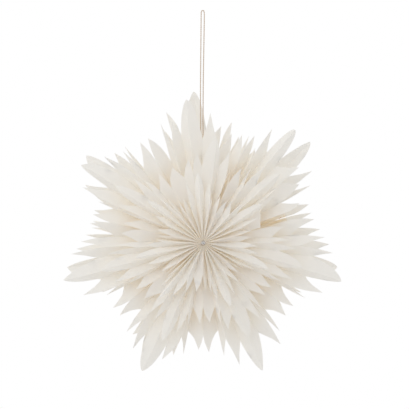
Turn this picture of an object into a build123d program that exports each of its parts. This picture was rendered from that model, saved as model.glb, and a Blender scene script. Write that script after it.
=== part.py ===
"""A hanging paper star: seven pleated paper arms round a rolled core, on a loop of cord.

Millimetres, +Z up, and the star's front faces -Y. The origin is inside the top of the cord loop,
where a hook bears. An arm is drawn once, about the star's centre and pointing straight up, and
then turned about the star's axis to each of its places.
"""

import os
from math import cos, hypot, pi, radians, sin, tan
from typing import NamedTuple

from build123d import *

# The star as a whole
arm_count = 7
seam_opening = 10.0  # degrees between the last arm's place and the first's
seam_angle = 17.0  # degrees to the seam's middle, anticlockwise from +X as seen from the front
first_arm_spread = 3.0  # degrees by which the first arm's right side spreads into the seam
last_arm_spread = 2.0  # degrees by which the last arm's left side does
star_drop = 382.0  # from the origin down to the star's centre

# Paper and glue
strip_paper = 0.25
leaf_paper = 0.3
glue_gap = 0.3  # between the leaves of neighbouring arms

# Folds of half an arm, as shares of the angle from its middle ridge to its side
pleat_count = 4
inner_valley_share = 0.19
outer_ridge_share = 0.46
outer_valley_share = 0.73

# Points of half an arm, as shares of the same angle, and how full the middle point's curved edges are
inner_point_share = 0.36
outer_point_share = 0.62
side_point_share = 0.89
middle_point_fullness = 0.20


class Tier(NamedTuple):
    """One tier of pleated strips. Radii are seen from the front, from the star's axis."""

    ridge_depth: float  # of the ridges where they start, from the star's middle plane
    ridge_fall: float  # how far a ridge falls back in each millimetre of radius
    valley_fall: float  # how far a valley falls back in each millimetre of radius
    middle_point: float
    inner_notch: float
    inner_point: float
    ridge_notch: float
    outer_point: float
    outer_notch: float
    side_point: float
    side_notch: float


tiers = {
    "small": Tier(
        ridge_depth=66,
        ridge_fall=0.08,
        valley_fall=0.24,
        middle_point=113,
        inner_notch=78,
        inner_point=100,
        ridge_notch=64,
        outer_point=90,
        outer_notch=58,
        side_point=80,
        side_notch=60,
    ),
    "medium": Tier(
        ridge_depth=52,
        ridge_fall=0.08,
        valley_fall=0.19,
        middle_point=171,
        inner_notch=124,
        inner_point=156,
        ridge_notch=110,
        outer_point=142,
        outer_notch=100,
        side_point=133,
        side_notch=103,
    ),
    "large": Tier(
        ridge_depth=36,
        ridge_fall=0.07,
        valley_fall=0.17,
        middle_point=238,
        inner_notch=176,
        inner_point=214,
        ridge_notch=154,
        outer_point=195,
        outer_notch=141,
        side_point=182,
        side_notch=143,
    ),
}

# How the strips' middle points lean, in degrees anticlockwise as seen from the front, arm by arm
leans = {
    ("front", "small"): (-12.0, -3.0, -5.0, -4.5, -14.0, -4.5, -8.0),
    ("front", "medium"): (-4.6, -15.0, 0.7, -1.5, -1.0, 0.5, -2.0),
    ("front", "large"): (4.3, -0.4, 0.0, -1.8, -2.9, -1.6, -1.5),
    ("rear", "small"): (3.0, -4.0, 2.0, -3.0, 4.0, -2.0, 3.0),
    ("rear", "medium"): (-3.0, 2.0, -4.0, 3.0, -2.0, 4.0, -3.0),
    ("rear", "large"): (-3.5, -3.7, -3.3, -6.0, -1.0, 1.5, 2.2),
}

# How much longer than the large tier's middle point each arm's own one is
front_lengthening = (0.0, -2.0, 0.0, 0.0, -5.5, -7.5, -4.5)
rear_lengthening = (2.0, 11.0, 3.5, -9.0, -9.0, -11.0, -14.5)

# Rolled core at the centre
core_radius = 3.0
core_bore_radius = 0.9
core_gap = 0.5  # from the core to the inner ends of strips and leaves

# Cord, its turn round the core and its knot
cord_diameter = 2.0
loop_width = 5.6  # between the centres of the two strands at the top
loop_bend_radius = 2.7
strand_spacing = 2.5  # between the centres of the two strands at the knot
tie_gap = 0.15  # from the core to the turn of cord
turn_sides = 16
knot_sides = 8
knot_diameter = 5.6
knot_height = 6.0
knot_gap = 0.2  # from the knot to the strands that turn above it
tie_relief_radius = 16.0  # cut out of the leaves round the tie
tie_relief_width = 10.0

# Adhesive dots that close the seam
dot_diameter = 6.0
dot_height = 0.5
dot_radii = (118.0, 133.0)
dot_depth = 14.0  # in front of the star's middle plane

arm_pitch = (360.0 - seam_opening) / arm_count
half_arm = arm_pitch / 2
first_arm_angle = seam_angle + seam_opening / 2 + half_arm
inner_radius = core_radius + core_gap
cord_radius = cord_diameter / 2
star_center = Vector(0, 0, -star_drop)


def wall_point(tier, near, far, radius, turn):
    """A point of the pleat between two folds, each given as its turn in degrees and its fall."""
    near_turn, near_fall = near
    far_turn, far_fall = far
    near_weight = sin(radians(far_turn - turn))
    far_weight = sin(radians(turn - near_turn))
    fall = (near_fall * near_weight + far_fall * far_weight) / sin(radians(far_turn - near_turn))
    return Vector(
        radius * sin(radians(turn)),
        -tier.ridge_depth + radius * fall,
        radius * cos(radians(turn)),
    )


def half_arm_pleats(tier, width, lean):
    """The four pleats of half an arm: two folds, two notches on them, and the point between."""
    ridge = tier.ridge_fall
    valley = tier.valley_fall

    def turn(share):
        return lean + share * (width - lean)

    folds = [
        (turn(0), ridge),
        (turn(inner_valley_share), valley),
        (turn(outer_ridge_share), ridge),
        (turn(outer_valley_share), valley),
        (turn(1), ridge),
    ]
    notches = [
        tier.middle_point,
        tier.inner_notch,
        tier.ridge_notch,
        tier.outer_notch,
        tier.side_notch,
    ]
    points = [
        (tier.middle_point, turn(0)),
        (tier.inner_point, turn(inner_point_share)),
        (tier.outer_point, turn(outer_point_share)),
        (tier.side_point, turn(side_point_share)),
    ]
    for wall, point in enumerate(points):
        yield folds[wall], folds[wall + 1], notches[wall], notches[wall + 1], point


def pleat_plane(tier, near, far):
    """The plane of the pleat between two folds, with its x axis along the near one."""
    apex = Vector(0, -tier.ridge_depth, 0)
    near_fold = wall_point(tier, near, far, 1, near[0]) - apex
    far_fold = wall_point(tier, near, far, 1, far[0]) - apex
    return Plane(origin=apex, x_dir=near_fold, z_dir=near_fold.cross(far_fold))


def half_strip(tier, width, lean):
    """The right half of an arm's front strip, from its middle ridge to a side at the given width."""
    steepness = (tier.valley_fall - tier.ridge_fall) / tan(radians((width - lean) / pleat_count))
    sheet_depth = strip_paper * hypot(1, steepness)
    side_inset = glue_gap / 2 + leaf_paper
    side_plane = Plane(
        origin=(-side_inset * cos(radians(width)), 0, side_inset * sin(radians(width))),
        z_dir=(cos(radians(width)), 0, -sin(radians(width))),
    )
    with BuildPart() as half:
        for near, far, near_notch, far_notch, (reach, turn) in half_arm_pleats(tier, width, lean):
            plane = pleat_plane(tier, near, far)
            outline = (
                (inner_radius, near[0]),
                (inner_radius, far[0]),
                (far_notch, far[0]),
                ((reach + far_notch) / 2, turn + (far[0] - turn) * (0.5 + middle_point_fullness)),
                (reach, turn),
                (near_notch, near[0]),
            )
            near_start, far_start, far_end, edge_middle, tip, near_end = (
                plane.to_local_coords(wall_point(tier, near, far, radius, angle))
                for radius, angle in outline
            )
            with BuildSketch(plane):
                with BuildLine():
                    Polyline(near_end, near_start, far_start, far_end)
                    if tip == near_end:
                        ThreePointArc(far_end, edge_middle, tip)
                    else:
                        Polyline(far_end, tip, near_end)
                make_face()
            extrude(amount=sheet_depth, dir=(0, 1, 0))
        split(bisect_by=side_plane, keep=Keep.BOTTOM)
    return half.part


def pleated_strip(tier, left_width, right_width, lean):
    """One arm's front strip of a tier, pointing straight up, cut from one pleated sheet."""
    with BuildPart() as strip:
        add(half_strip(tier, right_width, -lean))
        add(half_strip(tier, left_width, lean).mirror(Plane.YZ))
    return strip.part


def on_ridge(tier, radius):
    """A point of a tier's ridge, as its radius and its depth from the middle plane."""
    return radius, tier.ridge_depth - tier.ridge_fall * radius


def side_leaf(width):
    """The right-hand side leaf, at the given width, of an arm that points straight up."""
    small = tiers["small"]
    medium = tiers["medium"]
    large = tiers["large"]
    outward = Vector(cos(radians(width)), 0, -sin(radians(width)))
    leaf_plane = Plane(
        origin=outward * (-glue_gap / 2),
        x_dir=(sin(radians(width)), 0, cos(radians(width))),
        z_dir=outward * -1,
    )
    rear_edge = [
        (inner_radius, tie_relief_width / 2),
        on_ridge(small, inner_radius),
        on_ridge(small, small.side_notch),
        on_ridge(medium, small.side_point),
        on_ridge(medium, medium.side_notch),
        on_ridge(large, medium.side_point),
        on_ridge(large, large.side_notch),
        (large.side_notch, 0),
        (tie_relief_radius, 0),
        (tie_relief_radius, tie_relief_width / 2),
    ]
    with BuildPart() as leaf:
        with BuildSketch(leaf_plane):
            with BuildLine():
                Polyline(*rear_edge, close=True)
            make_face()
            mirror(about=Plane.XZ)
        extrude(amount=leaf_paper)
    return leaf.part


def placed(shape, turn):
    """A shape drawn about the star's centre, turned anticlockwise and set at the star's place."""
    return shape.moved(Location(star_center) * Rotation(0, -turn, 0))


def write(part, name):
    part.label = name
    export_step(part, f"parts/{name}.step")


os.makedirs("parts", exist_ok=True)

# Seven arms, each of six pleated strips between two side leaves
for arm in range(arm_count):
    turn = first_arm_angle - 90 + arm * arm_pitch
    right_width = half_arm + (first_arm_spread if arm == 0 else 0)
    left_width = half_arm + (last_arm_spread if arm == arm_count - 1 else 0)
    for (side, tier_name), arm_leans in leans.items():
        tier = tiers[tier_name]
        if tier_name == "large":
            lengthening = front_lengthening if side == "front" else rear_lengthening
            tier = tier._replace(middle_point=tier.middle_point + lengthening[arm])
        drawn = pleated_strip(tier, left_width, right_width, arm_leans[arm])
        if side == "rear":
            drawn = drawn.mirror(Plane.XZ)
        with BuildPart() as strip:
            add(placed(drawn, turn))
        write(strip.part, f"arm_{arm + 1}_{side}_{tier_name}_strip")
    left_leaf = side_leaf(left_width).mirror(Plane.YZ)
    for side, drawn in (("left", left_leaf), ("right", side_leaf(right_width))):
        with BuildPart() as leaf:
            add(placed(drawn, turn))
        write(leaf.part, f"arm_{arm + 1}_{side}_leaf")

# Rolled core, lying along the star's axis
core_plane = Plane(origin=star_center, z_dir=(0, 1, 0))
with BuildPart() as core:
    with BuildSketch(core_plane):
        Circle(core_radius)
        Circle(core_bore_radius, mode=Mode.SUBTRACT)
    extrude(amount=tiers["small"].ridge_depth, both=True)
write(core.part, "centre_core")

# Turn of cord round the core, with the knot standing on it
turn_radius = core_radius + tie_gap + cord_radius
knot_top = turn_radius + knot_height
knot_end_radius = strand_spacing / 2 + cord_radius
knot_sections = [
    (turn_radius, knot_end_radius),
    (turn_radius + knot_height / 2, knot_diameter / 2),
    (knot_top, knot_end_radius),
]
with BuildPart() as tie:
    with BuildSketch(core_plane):
        RegularPolygon(turn_radius + cord_radius, turn_sides, major_radius=False)
        Circle(core_radius + tie_gap, mode=Mode.SUBTRACT)
    extrude(amount=cord_radius, both=True)
    for height, section_radius in knot_sections:
        with BuildSketch(Plane(origin=star_center).offset(height)):
            RegularPolygon(section_radius, knot_sides, major_radius=False)
    loft(ruled=True)
write(tie.part, "cord_tie")

# Hanging loop: up from the knot, over the hook and down again
strand_bottom = -star_drop + knot_top + knot_gap
loop_points = [
    (-strand_spacing / 2, 0, strand_bottom),
    (-loop_width / 2, 0, cord_radius),
    (loop_width / 2, 0, cord_radius),
    (strand_spacing / 2, 0, strand_bottom),
]
with BuildPart() as loop:
    with BuildLine() as loop_line:
        FilletPolyline(*loop_points, radius=loop_bend_radius)
    with BuildSketch(loop_line.line ^ 0):
        Circle(cord_radius)
    sweep()
write(loop.part, "hanging_loop")
loop_length = loop_line.wires()[0].length
print("loop bend radius", loop_bend_radius, "length", round(loop_length, 1))
print("loop volume", round(loop.part.volume, 1), "of", round(pi * cord_radius**2 * loop_length, 1))

# Adhesive dots on the outside of the first arm's right-hand leaf
seam_side = radians(first_arm_angle - half_arm - first_arm_spread)
seam_out = Vector(cos(seam_side), 0, sin(seam_side))
seam_face = Vector(sin(seam_side), 0, -cos(seam_side))
dot_plane = Plane(
    origin=star_center + seam_face * (-glue_gap / 2),
    x_dir=seam_out,
    z_dir=seam_face,
)
with BuildPart() as dots:
    with BuildSketch(dot_plane):
        with Locations(*[(radius, dot_depth) for radius in dot_radii]):
            Circle(dot_diameter / 2)
    extrude(amount=dot_height)
write(dots.part, "seam_glue_dots")
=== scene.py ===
"""Looks of the hanging paper star: pleated, die-cut paper arms round a rolled core, on a cotton cord.

Metres, +Z up, and the star's front faces -Y. The origin is inside the top of the cord loop. Angles are in
degrees, anticlockwise from +X as seen from the front.
"""

import math
import random
from typing import NamedTuple

import bpy
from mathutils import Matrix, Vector


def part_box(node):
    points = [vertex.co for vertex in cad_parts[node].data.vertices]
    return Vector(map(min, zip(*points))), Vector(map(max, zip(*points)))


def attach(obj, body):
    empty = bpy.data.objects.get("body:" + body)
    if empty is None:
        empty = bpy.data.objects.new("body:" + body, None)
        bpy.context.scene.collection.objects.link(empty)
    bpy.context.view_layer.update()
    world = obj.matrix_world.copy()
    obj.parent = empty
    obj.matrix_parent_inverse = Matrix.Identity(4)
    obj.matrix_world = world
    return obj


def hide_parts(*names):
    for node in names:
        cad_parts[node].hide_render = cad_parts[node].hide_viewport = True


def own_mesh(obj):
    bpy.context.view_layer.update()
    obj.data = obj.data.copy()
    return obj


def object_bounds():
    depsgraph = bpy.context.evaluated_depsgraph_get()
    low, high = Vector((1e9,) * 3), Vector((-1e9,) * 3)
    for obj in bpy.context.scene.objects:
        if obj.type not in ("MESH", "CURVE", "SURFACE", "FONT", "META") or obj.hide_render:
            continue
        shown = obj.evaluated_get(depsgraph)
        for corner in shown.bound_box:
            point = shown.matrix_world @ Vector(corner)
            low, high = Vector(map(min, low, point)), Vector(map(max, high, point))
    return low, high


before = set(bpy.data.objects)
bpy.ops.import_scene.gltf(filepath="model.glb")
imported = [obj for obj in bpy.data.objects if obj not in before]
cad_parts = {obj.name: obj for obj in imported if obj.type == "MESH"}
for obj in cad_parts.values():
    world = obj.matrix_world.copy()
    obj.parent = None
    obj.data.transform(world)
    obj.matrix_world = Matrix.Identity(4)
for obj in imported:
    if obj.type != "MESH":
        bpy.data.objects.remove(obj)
cad_low, cad_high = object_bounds()

# The star as a whole
core_low, core_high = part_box("centre_core")
STAR_CENTRE = (Vector(core_low) + Vector(core_high)) / 2
CORE_RADIUS = (core_high[0] - core_low[0]) / 2
ARM_COUNT = 7
FIRST_ARM_ANGLE = 47.0
ARM_PITCH = 50.0
HALF_ARM = ARM_PITCH / 2
TOP_ARM = 2
CORE_GAP = 0.001
INNER_RADIUS = CORE_RADIUS + CORE_GAP  # where the arms' paper starts
STRIP_PAPER = 0.00028
LEAF_PAPER = 0.00032
LEAF_INSET = 0.0003  # from the side of its arm
CREASE_ANGLE = 24.0  # sharper folds are left crisp

# The photograph's frame
PHOTO_PIXELS = 409
STAR_CENTRE_PIXEL = (203.2, 242.6)
PIXEL = 0.00165
CAMERA_DISTANCE = 5.0
SENSOR_WIDTH = 36.0


class Tier(NamedTuple):
    """One tier of pleated strips. Radii are seen from the front, from the star's axis."""

    ridge_depth: float  # of the ridges where they start, from the star's middle plane
    ridge_fall: float  # how far a ridge falls back in each metre of radius
    pleat: float  # width of the paper between two folds
    middle_point: float
    inner_notch: float
    inner_point: float
    ridge_notch: float
    outer_point: float
    outer_notch: float
    side_point: float
    side_notch: float
    lean_radius: float  # where the arms' leans have grown to their full size


TIERS = {
    "small": Tier(
        ridge_depth=0.066,
        ridge_fall=0.08,
        pleat=0.0135,
        middle_point=0.113,
        inner_notch=0.0726,
        inner_point=0.100,
        ridge_notch=0.065,
        outer_point=0.090,
        outer_notch=0.056,
        side_point=0.080,
        side_notch=0.050,
        lean_radius=0.022,
    ),
    "medium": Tier(
        ridge_depth=0.052,
        ridge_fall=0.08,
        pleat=0.0145,
        middle_point=0.171,
        inner_notch=0.124,
        inner_point=0.156,
        ridge_notch=0.114,
        outer_point=0.142,
        outer_notch=0.109,
        side_point=0.133,
        side_notch=0.103,
        lean_radius=0.09,
    ),
    "large": Tier(
        ridge_depth=0.036,
        ridge_fall=0.07,
        pleat=0.0220,
        middle_point=0.238,
        inner_notch=0.176,
        inner_point=0.214,
        ridge_notch=0.158,
        outer_point=0.195,
        outer_notch=0.146,
        side_point=0.182,
        side_notch=0.153,
        lean_radius=0.12,
    ),
}

# Folds of half an arm, from its middle ridge to its side ridge, and the points of the pleats between them
FOLD_SHARES = (0.0, 0.19, 0.46, 0.73, 1.0)
POINT_SHARES = (0.0, 0.36, 0.62, 0.89)
PLEATS = len(POINT_SHARES)
PLEAT_COLUMNS = 8
POINT_COLUMNS = (0, 3, 3, 5)  # the column of each pleat's tip
STRIP_ROWS = 36

# How far a point's cut edge swells out from a straight one, or is hollowed in from it
MIDDLE_FULLNESS = 0.75
SIDE_FULLNESS = 0.4
HOLLOW_FULLNESS = -0.45
DEEP_HOLLOW = -0.9
NEARLY_STRAIGHT = 0.1
FULL = 0.7
SLIM_POINT = 0.4
FULL_POINT = 1.0
POINT_TAPER = 0.2  # how much finer a slim point grows towards its tip

# How each arm's middle points lean from the arm's own direction, as the star was opened by hand
FRONT_LEANS = {
    "small": (-14.3, -3.1, -4.2, -4.2, -15.6, -3.8, -9.2),
    "medium": (-4.6, -14.9, 0.8, -1.8, 0.9, -0.8, -0.7),
    "large": (4.0, 0.1, 0.0, -1.3, -2.4, -1.5, -1.9),
}
REAR_LEANS = {
    "small": (3.0, -4.0, 2.0, -3.0, 4.0, -2.0, 3.0),
    "medium": (-3.0, 2.0, -4.0, 3.0, -2.0, 4.0, -3.0),
    "large": (-4.3, -4.0, -2.8, -6.8, -2.4, -1.5, 2.2),
}

# How far the long points reach
FRONT_REACHES = (0.2395, 0.237, 0.238, 0.238, 0.2335, 0.232, 0.236)
REAR_REACHES = (0.243, 0.250, 0.2415, 0.229, 0.227, 0.225, 0.226)

# Where a long point is slimmer or fuller than the others on its left (+1) or right (-1)
POINT_FULLNESSES = {
    ("front", 1, 1): FULL_POINT,
    ("front", 1, -1): FULL_POINT,
    ("rear", 1, 1): SLIM_POINT,
    ("rear", 1, -1): FULL_POINT,
    ("rear", 2, 1): SLIM_POINT,
    ("rear", 2, -1): FULL_POINT,
    ("front", 4, -1): SLIM_POINT,
    ("front", 6, 1): NEARLY_STRAIGHT,
    ("rear", 6, 1): NEARLY_STRAIGHT,
}


class Fin(NamedTuple):
    """A slim point of a strip. Angles are in degrees outwards from its arm's direction."""

    notch: float  # where its near edge starts, on a fold
    tip: float
    reach: float
    near_fullness: float = HOLLOW_FULLNESS
    far_fullness: float = SIDE_FULLNESS


# Slim points as they stand in the star, on each arm's left (+1) and right (-1)
FRONT_LARGE_FINS = {
    (1, 1): (Fin(7.8, 11.8, 0.219), Fin(13.0, 14.2, 0.178), Fin(14.8, 17.4, 0.195, FULL)),
    (1, -1): (Fin(0.5, 8.8, 0.200), Fin(9.3, 15.7, 0.185), Fin(19.8, 24.6, 0.171)),
    (2, 1): (
        Fin(4.4, 7.6, 0.205),
        Fin(10.6, 12.7, 0.208, NEARLY_STRAIGHT, HOLLOW_FULLNESS),
        Fin(14.6, 20.9, 0.194, FULL),
    ),
    (2, -1): (
        Fin(6.5, 10.2, 0.214, far_fullness=HOLLOW_FULLNESS),
        Fin(17.0, 21.6, 0.186),
        Fin(23.7, 26.7, 0.189),
    ),
    (3, 1): (Fin(3.1, 8.3, 0.218), Fin(10.3, 11.6, 0.185), Fin(12.2, 18.6, 0.187)),
    (3, -1): (Fin(6.7, 8.0, 0.216), Fin(12.4, 15.7, 0.200), Fin(17.4, 24.8, 0.195, far_fullness=FULL)),
    (4, 1): (
        Fin(2.2, 6.6, 0.215, DEEP_HOLLOW),
        Fin(9.8, 11.4, 0.181),
        Fin(11.8, 18.8, 0.183, DEEP_HOLLOW),
    ),
    (4, -1): (Fin(8.7, 12.1, 0.218), Fin(14.5, 17.5, 0.201), Fin(21.0, 26.7, 0.189, DEEP_HOLLOW)),
    (5, 1): (Fin(3.1, 3.6, 0.204), Fin(10.1, 12.9, 0.186), Fin(13.3, 20.5, 0.176, DEEP_HOLLOW)),
    (5, -1): (
        Fin(8.6, 10.6, 0.209, DEEP_HOLLOW),
        Fin(14.6, 17.7, 0.193),
        Fin(19.9, 26.0, 0.182, DEEP_HOLLOW),
    ),
    (6, 1): (Fin(4.6, 10.4, 0.210), Fin(12.4, 13.9, 0.192), Fin(15.8, 21.6, 0.181, DEEP_HOLLOW)),
    (6, -1): (
        Fin(6.4, 10.4, 0.210, far_fullness=HOLLOW_FULLNESS),
        Fin(13.7, 16.5, 0.189),
        Fin(17.3, 24.0, 0.180, DEEP_HOLLOW),
    ),
    (7, 1): (Fin(5.8, 8.5, 0.214), Fin(11.1, 15.6, 0.200), Fin(18.0, 25.0, 0.187, DEEP_HOLLOW)),
    (7, -1): (
        Fin(5.2, 9.7, 0.213, DEEP_HOLLOW),
        Fin(13.4, 15.5, 0.191),
        Fin(15.9, 22.1, 0.181, DEEP_HOLLOW),
    ),
}
REAR_LARGE_FINS = {
    (1, 1): (Fin(0.5, 8.0, 0.184), Fin(11.0, 13.5, 0.175), Fin(17.0, 19.8, 0.192)),
    (1, -1): (Fin(9.0, 13.7, 0.216), Fin(15.4, 19.0, 0.201), Fin(20.1, 27.2, 0.186)),
    (2, 1): (
        Fin(4.0, 8.9, 0.224, FULL, HOLLOW_FULLNESS),
        Fin(8.6, 12.7, 0.200, FULL, HOLLOW_FULLNESS),
        Fin(14.6, 20.5, 0.190, FULL),
    ),
    (2, -1): (Fin(8.8, 15.8, 0.195, DEEP_HOLLOW), Fin(16.4, 20.4, 0.205, FULL), Fin(22.0, 25.5, 0.185)),
    (3, 1): (Fin(3.2, 7.0, 0.218), Fin(12.5, 16.5, 0.188), Fin(20.0, 22.0, 0.186)),
    (3, -1): (Fin(7.5, 12.2, 0.209, far_fullness=FULL), Fin(14.8, 17.7, 0.205), Fin(18.5, 24.0, 0.190)),
    (4, 1): (Fin(2.6, 9.3, 0.186), Fin(10.0, 11.4, 0.175), Fin(11.8, 18.8, 0.178, DEEP_HOLLOW)),
    (4, -1): (Fin(9.0, 14.1, 0.210), Fin(17.0, 20.7, 0.195), Fin(22.1, 24.5, 0.186, DEEP_HOLLOW)),
    (5, 1): (
        Fin(3.1, 8.2, 0.193, far_fullness=HOLLOW_FULLNESS),
        Fin(10.1, 12.9, 0.183),
        Fin(13.3, 20.5, 0.172, DEEP_HOLLOW),
    ),
    (5, -1): (Fin(9.5, 14.5, 0.192), Fin(15.4, 17.7, 0.190), Fin(19.9, 26.0, 0.178, DEEP_HOLLOW)),
    (6, 1): (Fin(4.6, 10.2, 0.206), Fin(12.4, 13.9, 0.188), Fin(15.8, 21.6, 0.177, DEEP_HOLLOW)),
    (6, -1): (
        Fin(6.4, 10.4, 0.206, far_fullness=HOLLOW_FULLNESS),
        Fin(13.7, 16.5, 0.185),
        Fin(17.3, 24.0, 0.176, DEEP_HOLLOW),
    ),
    (7, 1): (Fin(6.5, 12.2, 0.209), Fin(14.8, 19.5, 0.195), Fin(22.0, 28.3, 0.186, DEEP_HOLLOW)),
    (7, -1): (
        Fin(5.2, 9.7, 0.207, DEEP_HOLLOW),
        Fin(12.5, 14.0, 0.183),
        Fin(15.9, 22.1, 0.176, DEEP_HOLLOW),
    ),
}
FRONT_MEDIUM_FINS = {
    (1, 1): (Fin(0.6, 4.0, 0.160), Fin(7.6, 10.4, 0.145), Fin(10.8, 15.7, 0.138)),
    (1, -1): (Fin(9.1, 10.4, 0.150), Fin(11.8, 12.8, 0.142), Fin(16.5, 24.0, 0.110)),
    (2, 1): (Fin(-6.0, -3.2, 0.151), Fin(1.2, 2.8, 0.140), Fin(9.0, 15.0, 0.134)),
    (2, -1): (Fin(18.6, 23.3, 0.156), Fin(26.0, 26.8, 0.130), Fin(27.6, 28.6, 0.120)),
    (3, 1): (Fin(3.8, 8.6, 0.153), Fin(10.3, 11.5, 0.140), Fin(12.6, 18.8, 0.135)),
    (3, -1): (Fin(6.0, 9.6, 0.157), Fin(12.3, 14.0, 0.140), Fin(17.4, 24.3, 0.136)),
    (4, 1): (Fin(2.4, 6.7, 0.157), Fin(9.6, 11.0, 0.140), Fin(12.5, 17.6, 0.134)),
    (4, -1): (Fin(8.5, 10.5, 0.157), Fin(13.2, 15.5, 0.140), Fin(18.0, 23.5, 0.136)),
    (5, 1): (Fin(5.0, 6.3, 0.153), Fin(10.8, 12.5, 0.135), Fin(14.0, 20.6, 0.133)),
    (5, -1): (Fin(5.3, 9.5, 0.150), Fin(10.8, 14.2, 0.144), Fin(17.0, 23.5, 0.133)),
    (6, 1): (Fin(6.0, 10.0, 0.157), Fin(12.5, 14.8, 0.143), Fin(17.0, 22.9, 0.134)),
    (6, -1): (Fin(5.4, 10.7, 0.149), Fin(13.0, 14.5, 0.135), Fin(16.5, 22.3, 0.131)),
    (7, 1): (Fin(7.0, 9.3, 0.152), Fin(13.0, 15.0, 0.140), Fin(17.7, 24.3, 0.135)),
    (7, -1): (Fin(4.2, 9.1, 0.157), Fin(11.5, 13.0, 0.140), Fin(15.5, 20.0, 0.134)),
}
FRONT_SMALL_FINS = {
    (1, 1): (Fin(-6.2, -1.7, 0.093), Fin(0.0, 8.7, 0.084), Fin(9.4, 13.6, 0.079)),
    (1, -1): (Fin(18.7, 22.7, 0.099), Fin(24.9, 25.6, 0.075), Fin(27.5, 32.3, 0.0825)),
    (2, 1): (Fin(3.1, 9.0, 0.102), Fin(11.5, 12.3, 0.075), Fin(13.2, 17.3, 0.081)),
    (2, -1): (Fin(8.5, 12.4, 0.1005), Fin(17.0, 17.6, 0.075), Fin(20.4, 27.2, 0.0815)),
    (3, 1): (Fin(-1.3, 3.4, 0.090), Fin(6.8, 7.4, 0.068), Fin(8.8, 16.4, 0.078)),
    (3, -1): (Fin(10.7, 13.8, 0.100), Fin(16.0, 18.1, 0.092), Fin(21.2, 26.2, 0.078)),
    (4, 1): (Fin(-0.4, 3.7, 0.098), Fin(8.7, 9.3, 0.072), Fin(10.8, 17.2, 0.083)),
    (4, -1): (Fin(11.1, 14.8, 0.094), Fin(18.9, 20.6, 0.078), Fin(22.5, 25.5, 0.076)),
    (5, 1): (Fin(-9.8, -7.5, 0.099), Fin(-0.6, 3.0, 0.086), Fin(7.3, 14.9, 0.080)),
    (5, -1): (Fin(18.6, 21.4, 0.100), Fin(22.6, 23.6, 0.080), Fin(25.3, 27.2, 0.078)),
    (6, 1): (Fin(2.9, 4.6, 0.097), Fin(9.3, 15.7, 0.088), Fin(17.0, 22.8, 0.075)),
    (6, -1): (Fin(9.2, 12.5, 0.096), Fin(15.7, 17.6, 0.083), Fin(20.1, 23.8, 0.078)),
    (7, 1): (Fin(-0.5, 2.2, 0.092), Fin(5.7, 9.9, 0.0885), Fin(15.0, 19.8, 0.080)),
    (7, -1): (Fin(12.5, 14.8, 0.094), Fin(17.0, 18.2, 0.080), Fin(19.8, 21.3, 0.075)),
}
FINS = {
    ("front", "large"): FRONT_LARGE_FINS,
    ("rear", "large"): REAR_LARGE_FINS,
    ("front", "medium"): FRONT_MEDIUM_FINS,
    ("front", "small"): FRONT_SMALL_FINS,
}

# How deep the pleats are
HUB_RADIUS = 0.045  # inside it they are pressed together
HUB_DEPTH = 0.27  # share of their depth that is left at the core
LEAST_DEPTH = 0.28  # of a pleat pulled wide open, for each metre that it spreads

# How far folds and points are off their places, at most
FOLD_JITTER = 0.045
POINT_JITTER = 0.035
CURL = 0.006
SWAY = 1.6
MIDDLE_SHARE = 0.5  # a middle point's jitter and sway, beside the slim points'

# How far the sides between neighbouring arms are drawn off their places, from the first arm's left side on
FRONT_SIDE_SHIFTS = (-5.0, -2.1, -4.2, -3.9, -2.2, 0.3)
REAR_SIDE_SHIFTS = (-4.0, -1.5, -1.0, -3.0, -1.6, 0.8)

# The seam between the last arm and the first is closed at the small strips in front, and gapes further
# out. At the back it is nearly closed.
SEAM_SIDES = {1: -1, ARM_COUNT: 1}
SEAM_FRONT_WIDTHS = {
    1: {"small": 35.3, "medium": 32.0, "large": 27.0},
    ARM_COUNT: {"small": 24.7, "medium": 27.0, "large": 27.8},
}
SEAM_REAR_WIDTH = 29.7
PANEL_CUT = 0.0937  # straight edge of the medium strip's panel at the seam, right of the star's axis
PANEL_START = 17.0  # degrees outwards from the first arm's direction


def arm_angle(arm):
    """Direction of an arm's middle, counted from one."""
    return FIRST_ARM_ANGLE + (arm - 1) * ARM_PITCH


def half_width(arm, sign, side, tier_name="large"):
    """Angle between an arm's middle and its left (+1) or right (-1) side, at the front or the rear."""
    if SEAM_SIDES.get(arm) == sign:
        return SEAM_FRONT_WIDTHS[arm][tier_name] if side == "front" else SEAM_REAR_WIDTH
    shifts = FRONT_SIDE_SHIFTS if side == "front" else REAR_SIDE_SHIFTS
    return HALF_ARM + (shifts[arm - 1] if sign > 0 else -shifts[arm - 2])


def swell(share, fullness, taper):
    """How far down from its point a cut edge is, at a share of the way to the notch."""
    bulge = (1 - fullness) * share + fullness * share * share
    return bulge + taper * math.sin(2 * math.pi * share) / (2 * math.pi)


def clamp(value):
    """A value kept between 0 and 1."""
    return min(max(value, 0.0), 1.0)


def smooth(value):
    """Eases a value from 0 to 1."""
    value = clamp(value)
    return value * value * (3 - 2 * value)


def jitter(rng, most):
    """A seeded random amount, up to so much either way."""
    return rng.uniform(-1, 1) * most


def star_place(radius, angle, depth):
    """A place at a radius and an angle in radians round the star's axis, so far behind its middle plane."""
    return STAR_CENTRE + Vector((radius * math.cos(angle), depth, radius * math.sin(angle)))


# Materials


def node_material(name):
    """A new material with its nodes, and its Principled shader."""
    material = bpy.data.materials.new(name)
    material.use_nodes = True
    nodes = material.node_tree.nodes
    return material, nodes, material.node_tree.links, nodes["Principled BSDF"]


def noise(nodes, links, scale, detail=2, roughness=0.5):
    """Noise that is fixed to the piece."""
    coordinates = nodes.new("ShaderNodeTexCoord")
    texture = nodes.new("ShaderNodeTexNoise")
    texture.inputs["Scale"].default_value = scale
    texture.inputs["Detail"].default_value = detail
    texture.inputs["Roughness"].default_value = roughness
    links.new(coordinates.outputs["Object"], texture.inputs["Vector"])
    return texture.outputs["Fac"]


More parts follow.
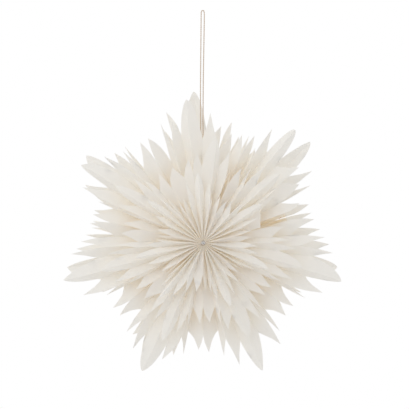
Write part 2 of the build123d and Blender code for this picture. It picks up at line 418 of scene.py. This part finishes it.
def weighted(nodes, links, grain, weight, rest=None):
    """A grain times its weight, added to the rest if there is any."""
    product = nodes.new("ShaderNodeMath")
    product.operation = "MULTIPLY" if rest is None else "MULTIPLY_ADD"
    product.inputs[1].default_value = weight
    links.new(grain, product.inputs[0])
    if rest is not None:
        links.new(rest, product.inputs[2])
    return product.outputs[0]


def two_tones(nodes, links, grain, principled, dark, pale, low=0.0, high=1.0):
    """Colours a surface from dark to pale while its grain goes from low to high."""
    tone = nodes.new("ShaderNodeValToRGB")
    for element, position, colour in zip(tone.color_ramp.elements, (low, high), (dark, pale)):
        element.position = position
        element.color = (*colour, 1)
    links.new(grain, tone.inputs["Fac"])
    links.new(tone.outputs["Color"], principled.inputs["Base Color"])


def relief(nodes, links, grain, principled, strength, distance):
    """Raises a surface slightly by its grain."""
    bump = nodes.new("ShaderNodeBump")
    bump.inputs["Strength"].default_value = strength
    bump.inputs["Distance"].default_value = distance
    links.new(grain, bump.inputs["Height"])
    links.new(bump.outputs["Normal"], principled.inputs["Normal"])
    return bump.outputs["Normal"]


# Grain of the paper, the yarn and the adhesive: scales of the noise, and shares of the paper's two
FIBRE_SCALE = 1400
CLOUD_SCALE = 38
FIBRE_SHARE = 0.45
CLOUD_SHARE = 0.55
YARN_SCALE = 2600
DUST_SCALE = 900


def paper(name, pale, dark, glow, translucency):
    """Uncoated paper: fine fibres, faint clouds of tone, and light that shines through."""
    material, nodes, links, principled = node_material(name)
    fibres = noise(nodes, links, FIBRE_SCALE, detail=6, roughness=0.65)
    clouds = weighted(nodes, links, noise(nodes, links, CLOUD_SCALE, detail=3), CLOUD_SHARE)
    grain = weighted(nodes, links, fibres, FIBRE_SHARE, clouds)
    two_tones(nodes, links, grain, principled, dark, pale, low=0.32, high=0.68)
    normal = relief(nodes, links, fibres, principled, strength=0.1, distance=0.00012)
    principled.inputs["Roughness"].default_value = 0.86
    principled.inputs["Specular IOR Level"].default_value = 0.22

    through = nodes.new("ShaderNodeBsdfTranslucent")
    through.inputs["Color"].default_value = (*glow, 1)
    links.new(normal, through.inputs["Normal"])
    mix = nodes.new("ShaderNodeMixShader")
    mix.inputs["Fac"].default_value = translucency
    links.new(principled.outputs["BSDF"], mix.inputs[1])
    links.new(through.outputs["BSDF"], mix.inputs[2])
    links.new(mix.outputs["Shader"], nodes["Material Output"].inputs["Surface"])
    return material


def cotton(name):
    """Natural twisted cotton: tan yarn with paler fibres and a soft nap."""
    material, nodes, links, principled = node_material(name)
    yarn = noise(nodes, links, YARN_SCALE, detail=4)
    two_tones(nodes, links, yarn, principled, (0.60, 0.46, 0.34), (0.84, 0.72, 0.60), low=0.3, high=0.72)
    relief(nodes, links, yarn, principled, strength=0.5, distance=0.0001)
    principled.inputs["Roughness"].default_value = 0.9
    principled.inputs["Sheen Weight"].default_value = 0.3
    return material


def adhesive(name):
    """Amber adhesive, slightly tacky and uneven."""
    material, nodes, links, principled = node_material(name)
    dust = noise(nodes, links, DUST_SCALE)
    two_tones(nodes, links, dust, principled, (0.42, 0.19, 0.05), (0.62, 0.33, 0.11))
    principled.inputs["Roughness"].default_value = 0.38
    principled.inputs["Subsurface Weight"].default_value = 0.2
    principled.inputs["Subsurface Radius"].default_value = (0.001, 0.0005, 0.0002)
    return material


petal_paper = paper(
    "petal_paper",
    pale=(0.991, 0.989, 0.985),
    dark=(0.986, 0.984, 0.978),
    glow=(0.996, 0.973, 0.922),
    translucency=0.42,
)
# The side leaves' paper is the petals' paper with warmer, darker tones and a warmer glow: painted shade for
# the pockets between the arms, where the leaves show.
leaf_paper = paper(
    "leaf_paper",
    pale=(0.983, 0.972, 0.948),
    dark=(0.973, 0.96, 0.93),
    glow=(0.99, 0.95, 0.875),
    translucency=0.5,
)
core_paper = paper(
    "core_paper",
    pale=(0.88, 0.86, 0.84),
    dark=(0.79, 0.77, 0.75),
    glow=(0.7, 0.66, 0.6),
    translucency=0.05,
)
cord_cotton = cotton("cotton_cord")
amber_adhesive = adhesive("adhesive")


# Modelling helpers


def flat_grid(name, columns, rows):
    """A flat grid of paper, two units across, and its vertices with their column and row."""
    bpy.ops.object.select_all(action="DESELECT")
    bpy.ops.mesh.primitive_grid_add(x_subdivisions=columns, y_subdivisions=rows, size=2)
    sheet = bpy.context.object
    sheet.name = sheet.data.name = name
    cells = [
        (vertex, round((vertex.co.x + 1) / 2 * columns), round((vertex.co.y + 1) / 2 * rows))
        for vertex in sheet.data.vertices
    ]
    return sheet, cells


def thicken(sheet, paper_thickness):
    """Gives a sheet of paper its thickness, centred on its surface, and crisp folds."""
    solidify = sheet.modifiers.new("paper", "SOLIDIFY")
    solidify.thickness = paper_thickness
    solidify.offset = 0
    solidify.use_even_offset = False
    bpy.ops.object.modifier_apply(modifier=solidify.name)
    bpy.ops.object.shade_smooth_by_angle(angle=math.radians(CREASE_ANGLE))


def join(pieces, name):
    """Joins pieces into one with a name."""
    bpy.ops.object.select_all(action="DESELECT")
    for piece in pieces:
        piece.select_set(True)
    bpy.context.view_layer.objects.active = pieces[0]
    bpy.ops.object.join()
    whole = bpy.context.object
    whole.name = whole.data.name = name
    return whole


def finish(piece, body, material, node):
    """Puts a piece on its body, in its material, in place of its solid."""
    piece.data.materials.clear()
    piece.data.materials.append(material)
    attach(piece, body)
    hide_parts(node)


def fold_with_arm(piece):
    """Gives a piece a mesh of its own."""
    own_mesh(piece)


def finish_paper(sheet, arm, material):
    """Puts a paper piece on its arm, with a mesh of its own."""
    finish(sheet, f"arm_{arm}", material, sheet.name.replace("paper_", ""))
    fold_with_arm(sheet)


# Pleated strips


class Column(NamedTuple):
    """One radial line of a strip's half. Angles are in degrees outwards from the arm's direction."""

    hub_turn: float  # its angle at the hub
    turn: float  # its angle further out
    pleat_angle: float  # between a ridge and a valley there
    fold: float  # 0 on a ridge and 1 in a valley
    reach: float  # of the cut edge
    notch: float  # from where its point stands free
    curl: float
    sway: float


def half_columns(tier, rng, middle, width, lean, fins, middle_fullness):
    """The radial lines of half an arm's strip, from its middle ridge to its side."""
    middle_reach, curl, sway = middle
    shares = [share + (jitter(rng, FOLD_JITTER) if 0 < share < 1 else 0) for share in FOLD_SHARES]
    notches = (tier.inner_notch, tier.inner_notch, tier.ridge_notch, tier.outer_notch, tier.side_notch)
    notches = [radius * (1 + jitter(rng, POINT_JITTER)) for radius in notches]
    points = (tier.inner_point, tier.outer_point, tier.side_point)
    reaches = [middle_reach, *(radius * (1 + jitter(rng, POINT_JITTER)) for radius in points)]
    folds = [share * width + lean * (1 - share) for share in shares]
    places = [
        (point - near) / (far - near)
        for point, near, far in zip(POINT_SHARES, FOLD_SHARES, FOLD_SHARES[1:])
    ]
    tips = [near + (far - near) * place for near, far, place in zip(folds, folds[1:], places)]
    if fins:
        folds = [lean, *(fin.notch for fin in fins), width]
        tips = [lean, *(fin.tip for fin in fins)]
        reaches = [middle_reach, *(fin.reach for fin in fins)]
    columns = []
    for pleat in range(PLEATS):
        near, far, tip = folds[pleat], folds[pleat + 1], tips[pleat]
        ridge = pleat - pleat % 2
        pleat_angle = (folds[ridge + 2] - folds[ridge]) / 2
        point_column = POINT_COLUMNS[pleat]
        if pleat > 0:
            curl = jitter(rng, CURL)
            sway = 0.0 if fins else jitter(rng, SWAY)
        last = PLEAT_COLUMNS + (pleat == PLEATS - 1)
        for column in range(last):
            if column < point_column:
                to_notch = 1 - column / point_column
                turn = tip + (near - tip) * to_notch
                notch = notches[pleat]
                fullness = fins[pleat - 1].near_fullness if fins else HOLLOW_FULLNESS
            else:
                to_notch = (column - point_column) / (PLEAT_COLUMNS - point_column)
                turn = tip + (far - tip) * to_notch
                notch = notches[pleat + 1]
                fullness = middle_fullness
                if pleat:
                    fullness = fins[pleat - 1].far_fullness if fins else SIDE_FULLNESS
            drop = swell(to_notch, fullness, POINT_TAPER if pleat else 0.0)
            reach = reaches[pleat] - (reaches[pleat] - notch) * drop
            along = (turn - near) / (far - near)
            share = shares[pleat] + (shares[pleat + 1] - shares[pleat]) * along
            fold = along if pleat % 2 == 0 else 1 - along
            columns.append(Column(share * width, turn, pleat_angle, fold, reach, notch, curl, sway))
    return columns


def pleat_depth(tier, radius, pleat_angle):
    """How far a valley lies behind the ridges: paper of one width, opened wider further out."""
    spread = radius * math.sin(math.radians(pleat_angle))
    least = LEAST_DEPTH * spread
    opened = math.sqrt(max(tier.pleat**2 - spread**2, least**2))
    return opened * (HUB_DEPTH + (1 - HUB_DEPTH) * smooth(radius / HUB_RADIUS))


def pleated_strip(arm, side, tier_name):
    """One pleated, die-cut strip of an arm."""
    tier = TIERS[tier_name]
    rng = random.Random(f"{arm} {side} {tier_name}")
    lean = (FRONT_LEANS if side == "front" else REAR_LEANS)[tier_name][arm - 1]
    forward = -1 if side == "front" else 1
    middle_reach = tier.middle_point * (1 + jitter(rng, POINT_JITTER * MIDDLE_SHARE))
    if tier_name == "large":
        middle_reach = (FRONT_REACHES if side == "front" else REAR_REACHES)[arm - 1]
    middle = (middle_reach, jitter(rng, CURL), jitter(rng, SWAY * MIDDLE_SHARE))
    halves = {}
    for sign in (-1, 1):
        width = half_width(arm, sign, side, tier_name)
        fins = FINS.get((side, tier_name), {}).get((arm, sign))
        middle_fullness = MIDDLE_FULLNESS
        if tier_name == "large":
            middle_fullness = POINT_FULLNESSES.get((side, arm, sign), MIDDLE_FULLNESS)
        halves[sign] = half_columns(tier, rng, middle, width, sign * lean, fins, middle_fullness)
    at_seam = (arm, side, tier_name) == (1, "front", "medium")

    middle_column = PLEATS * PLEAT_COLUMNS
    sheet, cells = flat_grid(f"paper_arm_{arm}_{side}_{tier_name}_strip", 2 * middle_column, STRIP_ROWS)
    for vertex, column, row in cells:
        sign = 1 if column >= middle_column else -1
        line = halves[sign][abs(column - middle_column)]
        reach = line.reach
        if at_seam and sign < 0 and line.turn > PANEL_START:
            edge_angle = arm_angle(arm) - line.turn
            reach = PANEL_CUT / math.cos(math.radians(edge_angle))
        radius = INNER_RADIUS + (reach - INNER_RADIUS) * row / STRIP_ROWS
        free = max(0.0, (radius - line.notch) / (tier.middle_point - line.notch))
        turn = line.hub_turn + (line.turn - line.hub_turn) * smooth(radius / tier.lean_radius)
        turn = sign * turn + line.sway * free * free
        depth = tier.ridge_depth - tier.ridge_fall * radius
        depth -= pleat_depth(tier, radius, line.pleat_angle) * line.fold
        depth += line.curl * free * free
        vertex.co = star_place(radius, math.radians(arm_angle(arm) + turn), forward * depth)
    thicken(sheet, STRIP_PAPER)
    finish_paper(sheet, arm, petal_paper)


# Side leaves, on the left (+1) and right (-1) of each arm. All are cut away round the cord's turn, and
# some further out, where they fold up to the knot or to the strands above it.
LEAF_RADIUS = 0.143
LEAF_COLUMNS = 40
LEAF_ROWS = 23
RELIEF_DEPTH = 0.0029  # either way from the star's middle plane
TURN_RELIEF = 0.0062
KNOT_RELIEF = 0.0165
STRAND_RELIEF = 0.0235
LONG_RELIEF = 0.095
LEAF_RELIEFS = {
    (1, 1): STRAND_RELIEF,
    (1, -1): LONG_RELIEF,
    (2, 1): KNOT_RELIEF,
    (2, -1): STRAND_RELIEF,
    (3, 1): KNOT_RELIEF,
    (3, -1): KNOT_RELIEF,
    (4, 1): KNOT_RELIEF,
    (4, -1): KNOT_RELIEF,
    (5, -1): KNOT_RELIEF,
}


def leaf_edge(radius):
    """How far from the middle plane a side leaf reaches, along the outermost strip at that radius."""
    small, medium, large = TIERS["small"], TIERS["medium"], TIERS["large"]
    for tier, above in ((small, medium), (medium, large)):
        if radius <= tier.side_notch:
            return tier.ridge_depth - tier.ridge_fall * radius
        if radius < tier.side_point:
            step = (radius - tier.side_notch) / (tier.side_point - tier.side_notch)
            start = tier.ridge_depth - tier.ridge_fall * tier.side_notch
            end = above.ridge_depth - above.ridge_fall * tier.side_point
            return start + (end - start) * step
    return large.ridge_depth - large.ridge_fall * radius


def front_width(arm, sign, radius):
    """Angle between an arm's middle and its side at the front, which changes from tier to tier."""
    radii = [tier.side_notch for tier in TIERS.values()]
    widths = [half_width(arm, sign, "front", tier_name) for tier_name in TIERS]
    width = widths[0]
    for start, end, near, far in zip(radii, radii[1:], widths, widths[1:]):
        width += (far - near) * clamp((radius - start) / (end - start))
    return width


def leaf_place(arm, sign, radius, depth, proud=0.0):
    """A place on an arm's left (+1) or right (-1) leaf, or so far proud of its outer side."""
    front, rear = front_width(arm, sign, radius), half_width(arm, sign, "rear")
    depth_share = depth / leaf_edge(radius)
    width = front + (rear - front) * smooth((depth_share + 1) / 2)
    angle = math.radians(arm_angle(arm) + sign * width)
    along = Vector((math.cos(angle), 0, math.sin(angle)))
    away = Vector((-math.sin(angle), 0, math.cos(angle))) * sign
    return STAR_CENTRE + along * radius + away * (proud - LEAF_INSET) + Vector((0, depth, 0))


def side_leaf(arm, side):
    """One of the two flat leaves between which an arm's strips are glued."""
    sign = 1 if side == "left" else -1
    sheet, cells = flat_grid(f"paper_arm_{arm}_{side}_leaf", LEAF_COLUMNS, LEAF_ROWS)
    for vertex, column, row in cells:
        radius = INNER_RADIUS + (LEAF_RADIUS - INNER_RADIUS) * column / LEAF_COLUMNS
        depth = (2 * row / LEAF_ROWS - 1) * leaf_edge(radius)
        vertex.co = leaf_place(arm, sign, radius, depth)
    bpy.ops.object.mode_set(mode="EDIT")
    bpy.ops.mesh.select_mode(type="FACE")
    bpy.ops.mesh.select_all(action="DESELECT")
    bpy.ops.object.mode_set(mode="OBJECT")
    cut_radius = LEAF_RELIEFS.get((arm, sign), TURN_RELIEF)
    for face in sheet.data.polygons:
        offset = face.center - STAR_CENTRE
        face.select = math.hypot(offset.x, offset.z) < cut_radius and abs(offset.y) < RELIEF_DEPTH
    bpy.ops.object.mode_set(mode="EDIT")
    bpy.ops.mesh.delete(type="FACE")
    bpy.ops.object.mode_set(mode="OBJECT")
    thicken(sheet, LEAF_PAPER)
    finish_paper(sheet, arm, leaf_paper)


for arm in range(1, ARM_COUNT + 1):
    for side in ("front", "rear"):
        for tier_name in TIERS:
            pleated_strip(arm, side, tier_name)
    for side in ("left", "right"):
        side_leaf(arm, side)


# The rolled core
CORE_TURNS = 6
CORE_TURN_COLUMNS = 24
CORE_ROWS = 12
CORE_BORE = 0.001
CORE_PAPER = 0.0003
CORE_SLIP = 0.0009  # how far the roll's turns stand out past each other at its ends


def rolled_core():
    """A strip of paper rolled up tightly along the star's axis."""
    columns = CORE_TURNS * CORE_TURN_COLUMNS
    half_length = (core_high[1] - core_low[1]) / 2
    outer = CORE_RADIUS - CORE_PAPER / 2
    sheet, cells = flat_grid("paper_core", columns, CORE_ROWS)
    for vertex, column, row in cells:
        rolled = column / columns
        radius = CORE_BORE + (outer - CORE_BORE) * rolled
        angle = 2 * math.pi * column / CORE_TURN_COLUMNS
        depth = (2 * row / CORE_ROWS - 1) * (half_length - CORE_SLIP * rolled)
        vertex.co = star_place(radius, angle, depth)
    thicken(sheet, CORE_PAPER)
    finish(sheet, f"arm_{TOP_ARM}", core_paper, "centre_core")


rolled_core()


# The cord: its loop, and its turn and knot round the core
CORD_DIAMETER = 0.002
CORD_LAY = 0.0062  # length of cord in which its plies go round once
PLY_COUNT = 2
PLY_RADIUS = 0.00053
PLY_OFFSET = CORD_DIAMETER / 2 - PLY_RADIUS
LINE_STEPS = 360
RING_STEPS = 24
LEAST_STEP = 0.0004
STRAND_BOTTOM = -0.37165
LOOP_TOP = 0.001
NEAR_TOP = -0.012
AT_NOTCH = -0.19  # where the strands go in behind the front petals
LOOP_ROUTE = (
    (-0.00125, 0, STRAND_BOTTOM),
    (-0.0052, 0, AT_NOTCH),
    (-0.0034, 0, NEAR_TOP),
    (-0.0034, 0, LOOP_TOP),
    (0.0019, 0, LOOP_TOP),
    (0.0019, 0, NEAR_TOP),
    (-0.0012, 0, AT_NOTCH),
    (0.00125, 0, STRAND_BOTTOM),
)
TURN_GAP = 0.00015
TURN_RADIUS = CORE_RADIUS + TURN_GAP + CORD_DIAMETER / 2
TURN_TWISTS = 4
KNOT_RADIUS = 0.0018
KNOT_TWISTS = 2
KNOT_TILTS = (7.0, -5.0, 6.0)


def line_points(line):
    """Points along a curve's smooth line, none closer than a small step to the last."""
    holder = bpy.data.objects.new("line", line)
    mesh = bpy.data.meshes.new_from_object(holder)
    places = [vertex.co.copy() for vertex in mesh.vertices]
    bpy.data.objects.remove(holder)
    bpy.data.meshes.remove(mesh)
    kept = places[:1]
    for place in places[1:-1]:
        if (place - kept[-1]).length >= LEAST_STEP and (place - places[-1]).length >= LEAST_STEP:
            kept.append(place)
    return kept + places[-1:]


def loop_line():
    """The hanging loop's smooth line, from one strand's end in the knot to the other's."""
    line = bpy.data.curves.new("loop_line", "CURVE")
    line.dimensions = "3D"
    line.resolution_u = LINE_STEPS
    spline = line.splines.new("NURBS")
    spline.points.add(len(LOOP_ROUTE) - 1)
    for point, place in zip(spline.points, LOOP_ROUTE):
        point.co = (*place, 1)
    spline.order_u = 3
    spline.use_endpoint_u = True
    spline.resolution_u = LINE_STEPS
    return line_points(line)


def ring_line(radius, centre, normal):
    """The smooth line of one turn of cord, closed, round a centre."""
    bpy.ops.object.select_all(action="DESELECT")
    bpy.ops.curve.primitive_nurbs_circle_add(radius=radius)
    ring = bpy.context.object
    ring.data.splines[0].resolution_u = RING_STEPS
    places = line_points(ring.data)
    bpy.data.objects.remove(ring)
    facing = Vector(normal).to_track_quat("Z", "Y")
    return [centre + facing @ place for place in places]


def twisted_cord(name, places, normal, lay, closed=False):
    """Plies twisted round a flat line of places; the normal is that of the line's plane."""
    normal = Vector(normal).normalized()
    bpy.ops.object.select_all(action="DESELECT")
    for ply in range(PLY_COUNT):
        strand = bpy.data.curves.new(name, "CURVE")
        strand.dimensions = "3D"
        strand.bevel_depth = PLY_RADIUS
        strand.bevel_resolution = 1
        strand.use_fill_caps = not closed
        spline = strand.splines.new("POLY")
        spline.points.add(len(places) - 1)
        spline.use_cyclic_u = closed
        travelled = 0.0
        for index, place in enumerate(places):
            before = places[max(index - 1, 0)]
            after = places[min(index + 1, len(places) - 1)]
            if closed:
                before, after = places[index - 1], places[(index + 1) % len(places)]
            aside = normal.cross((after - before).normalized())
            turn = 2 * math.pi * (travelled / lay + ply / PLY_COUNT)
            offset = (aside * math.cos(turn) + normal * math.sin(turn)) * PLY_OFFSET
            spline.points[index].co = (*(place + offset), 1)
            travelled += (places[(index + 1) % len(places)] - place).length
        piece = bpy.data.objects.new(name, strand)
        bpy.context.collection.objects.link(piece)
        piece.select_set(True)
        bpy.context.view_layer.objects.active = piece
    bpy.ops.object.convert(target="MESH")
    bpy.ops.object.join()
    cord = bpy.context.object
    cord.name = cord.data.name = name
    bpy.ops.object.shade_smooth()
    return cord


def hanging_loop():
    """The loop of twisted cord that the star hangs on."""
    places = loop_line()
    loop = twisted_cord("cord_loop", places, (0, 1, 0), CORD_LAY)
    finish(loop, "hanger", cord_cotton, "hanging_loop")


def cord_tie():
    """One turn of the cord round the core, and the wraps of its knot above that."""
    ring = ring_line(TURN_RADIUS, STAR_CENTRE, (0, 1, 0))
    lay = 2 * math.pi * TURN_RADIUS / TURN_TWISTS
    wraps = [twisted_cord("cord_turn", ring, (0, 1, 0), lay, closed=True)]
    for wrap, tilt in enumerate(KNOT_TILTS):
        height = TURN_RADIUS + CORD_DIAMETER * (wrap + 0.5)
        normal = (math.sin(math.radians(tilt)), 0, math.cos(math.radians(tilt)))
        ring = ring_line(KNOT_RADIUS, STAR_CENTRE + Vector((0, 0, height)), normal)
        lay = 2 * math.pi * KNOT_RADIUS / KNOT_TWISTS
        wraps.append(twisted_cord("knot_wrap", ring, normal, lay, closed=True))
    tie = join(wraps, "cord_knot")
    finish(tie, f"arm_{TOP_ARM}", cord_cotton, "cord_tie")


hanging_loop()
cord_tie()


# The adhesive dots that close the seam, on the first arm's right leaf
DOT_ARM = 1
DOT_SIGN = -1
DOT_RADIUS = 0.003
DOT_HEIGHT = 0.0006
DOT_PLACES = ((0.118, -0.014), (0.133, -0.014))  # radius and depth
DOT_SEGMENTS = 32
DOT_RINGS = 16
DOT_CROWN = 0.7  # below 1 for a flatter crown
DOT_LOBES = 5
DOT_UNEVENNESS = 0.06


def adhesive_dots():
    """Two drops of adhesive, pressed slightly out of round."""
    drops = []
    for drop, (radius, depth) in enumerate(DOT_PLACES):
        bpy.ops.object.select_all(action="DESELECT")
        bpy.ops.mesh.primitive_uv_sphere_add(segments=DOT_SEGMENTS, ring_count=DOT_RINGS, radius=1)
        dot = bpy.context.object
        for vertex in dot.data.vertices:
            along, across, up = vertex.co
            bearing = math.atan2(across, along)
            reach = DOT_RADIUS * (1 + DOT_UNEVENNESS * math.sin(DOT_LOBES * bearing + drop))
            proud = LEAF_PAPER / 2 + DOT_HEIGHT * max(up, 0.0) ** DOT_CROWN
            vertex.co = leaf_place(DOT_ARM, DOT_SIGN, radius + along * reach, depth + across * reach, proud)
        bpy.ops.object.mode_set(mode="EDIT")
        bpy.ops.mesh.select_all(action="SELECT")
        bpy.ops.mesh.normals_make_consistent(inside=False)
        bpy.ops.object.mode_set(mode="OBJECT")
        bpy.ops.object.shade_smooth()
        drops.append(dot)
    dots = join(drops, "adhesive_dots")
    finish(dots, f"arm_{DOT_ARM}", amber_adhesive, "seam_glue_dots")
    fold_with_arm(dots)


adhesive_dots()


# Floor, light and camera
FRONT_SIDE = (-0.2, -0.9, 0.4)
FRONT_STRENGTH = 0.70
BACK_STRENGTH = 0.90  # stronger, so that the paper is lit through
KEY_PLACE = (-1.5, -1.8, 1.3)
KEY_SIZE = 2.4
KEY_POWER = 14
LIGHT_BOUNCES = 64
FLOOR_DROP = 0.45
FLOOR_SIZE = 3.4


def pale_floor():
    """A plain pale floor, well below the star."""
    bpy.ops.object.select_all(action="DESELECT")
    bpy.ops.mesh.primitive_plane_add(size=FLOOR_SIZE, location=(0, 0, cad_low[2] - FLOOR_DROP))
    floor = bpy.context.object
    floor.name = "floor"
    material, _, _, principled = node_material("floor_paint")
    principled.inputs["Base Color"].default_value = (0.86, 0.86, 0.86, 1)
    principled.inputs["Roughness"].default_value = 0.7
    floor.data.materials.append(material)


def studio_world():
    """White behind the star in the camera's view, and a softer light on it from every side."""
    world = bpy.data.worlds.new("studio")
    bpy.context.scene.world = world
    world.use_nodes = True
    nodes, links = world.node_tree.nodes, world.node_tree.links
    background = nodes["Background"]
    background.inputs["Color"].default_value = (1, 1, 1, 1)
    coordinates = nodes.new("ShaderNodeTexCoord")
    towards_front = nodes.new("ShaderNodeVectorMath")
    towards_front.operation = "DOT_PRODUCT"
    towards_front.inputs[1].default_value = Vector(FRONT_SIDE).normalized()
    links.new(coordinates.outputs["Generated"], towards_front.inputs[0])
    spread = nodes.new("ShaderNodeMapRange")
    spread.inputs["From Min"].default_value = -1
    spread.inputs["From Max"].default_value = 1
    spread.inputs["To Min"].default_value = BACK_STRENGTH
    spread.inputs["To Max"].default_value = FRONT_STRENGTH
    links.new(towards_front.outputs["Value"], spread.inputs["Value"])
    links.new(spread.outputs["Result"], background.inputs["Strength"])
    backdrop = nodes.new("ShaderNodeBackground")
    backdrop.inputs["Color"].default_value = (1, 1, 1, 1)
    backdrop.inputs["Strength"].default_value = 1.0
    path = nodes.new("ShaderNodeLightPath")
    mix = nodes.new("ShaderNodeMixShader")
    links.new(path.outputs["Is Camera Ray"], mix.inputs["Fac"])
    links.new(background.outputs["Background"], mix.inputs[1])
    links.new(backdrop.outputs["Background"], mix.inputs[2])
    links.new(mix.outputs["Shader"], nodes["World Output"].inputs["Surface"])


def soft_light(name, location, size, power):
    """A square soft box that faces the star's centre."""
    lamp = bpy.data.lights.new(name, "AREA")
    lamp.shape = "SQUARE"
    lamp.size = size
    lamp.energy = power
    light = bpy.data.objects.new(name, lamp)
    light.location = location
    aim = STAR_CENTRE - Vector(location)
    light.rotation_euler = aim.to_track_quat("-Z", "Y").to_euler()
    bpy.context.collection.objects.link(light)


def photo_camera():
    """Level camera in front of the star, framed as the photograph is."""
    camera = bpy.data.cameras.new("camera")
    camera.sensor_width = SENSOR_WIDTH
    camera.lens = SENSOR_WIDTH * CAMERA_DISTANCE / (PHOTO_PIXELS * PIXEL)
    viewer = bpy.data.objects.new("camera", camera)
    middle = PHOTO_PIXELS / 2
    viewer.location = (
        STAR_CENTRE.x + (middle - STAR_CENTRE_PIXEL[0]) * PIXEL,
        STAR_CENTRE.y - CAMERA_DISTANCE,
        STAR_CENTRE.z + (STAR_CENTRE_PIXEL[1] - middle) * PIXEL,
    )
    viewer.rotation_euler = (math.radians(90), 0, 0)
    bpy.context.collection.objects.link(viewer)
    bpy.context.scene.camera = viewer


pale_floor()
studio_world()
soft_light("key", KEY_PLACE, KEY_SIZE, KEY_POWER)
photo_camera()
bpy.context.scene.view_settings.view_transform = "Standard"

# White paper passes light on many times between its folds
light_paths = bpy.context.scene.cycles
light_paths.max_bounces = LIGHT_BOUNCES
light_paths.diffuse_bounces = LIGHT_BOUNCES
light_paths.transmission_bounces = LIGHT_BOUNCES
